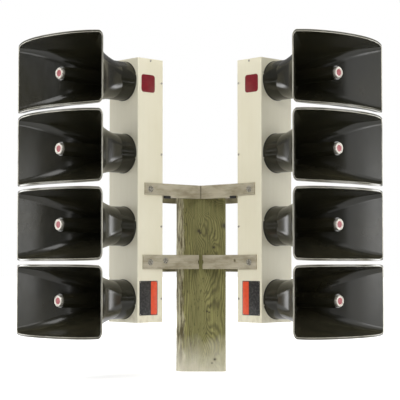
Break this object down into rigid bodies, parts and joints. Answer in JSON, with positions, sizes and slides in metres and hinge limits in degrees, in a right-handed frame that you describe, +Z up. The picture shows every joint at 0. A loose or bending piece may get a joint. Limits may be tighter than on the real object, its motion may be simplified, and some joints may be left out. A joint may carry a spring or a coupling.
{
  "type": "post-top siren speaker array",
  "caption": "Siren speaker array clamped to the top of a timber post: slim splayed cabinets, each carrying a column of wide flared horns.",
  "frame": {"origin": "middle of the post's flat foot", "axes": "+Z up along the post; -Y to the front, midway between the two arrays; +X to the right as seen from the front"},
  "size_m": [1.5172, 0.8527, 1.376],
  "materials": {
    "horn_plastic": "semi-gloss moulded, olive black",
    "cap_steel": "bright ring",
    "gasket_rubber": "matte black",
    "cabinet_paint": "satin cream paint",
    "bracket_steel": "dull, stained",
    "post_wood": "weathered, treated, green-grey"
  },
  "bodies": {
    "root": {"left_bell_1": "horn_plastic", "left_centre_tube_1": "horn_plastic", "left_end_cap_1": "cap_steel", "left_bell_2": "horn_plastic", "left_centre_tube_2": "horn_plastic", "left_end_cap_2": "cap_steel", "left_bell_3": "horn_plastic", "left_centre_tube_3": "horn_plastic", "left_end_cap_3": "cap_steel", "left_bell_4": "horn_plastic", "left_centre_tube_4": "horn_plastic", "left_end_cap_4": "cap_steel", "left_gaskets": "gasket_rubber", "left_cabinet_wrapper": "cabinet_paint", "left_cabinet_top": "cabinet_paint", "left_cabinet_bottom": "cabinet_paint", "left_cabinet_back": "cabinet_paint", "left_lower_arm": "bracket_steel", "right_bell_1": "horn_plastic", "right_centre_tube_1": "horn_plastic", "right_end_cap_1": "cap_steel", "right_bell_2": "horn_plastic", "right_centre_tube_2": "horn_plastic", "right_end_cap_2": "cap_steel", "right_bell_3": "horn_plastic", "right_centre_tube_3": "horn_plastic", "right_end_cap_3": "cap_steel", "right_bell_4": "horn_plastic", "right_centre_tube_4": "horn_plastic", "right_end_cap_4": "cap_steel", "right_gaskets": "gasket_rubber", "right_cabinet_wrapper": "cabinet_paint", "right_cabinet_top": "cabinet_paint", "right_cabinet_bottom": "cabinet_paint", "right_cabinet_back": "cabinet_paint", "right_lower_arm": "bracket_steel", "post": "post_wood", "upper_front_bracket": "bracket_steel", "upper_rear_bracket": "bracket_steel", "lower_rear_bracket": "bracket_steel"}
  },
  "joints": []
}
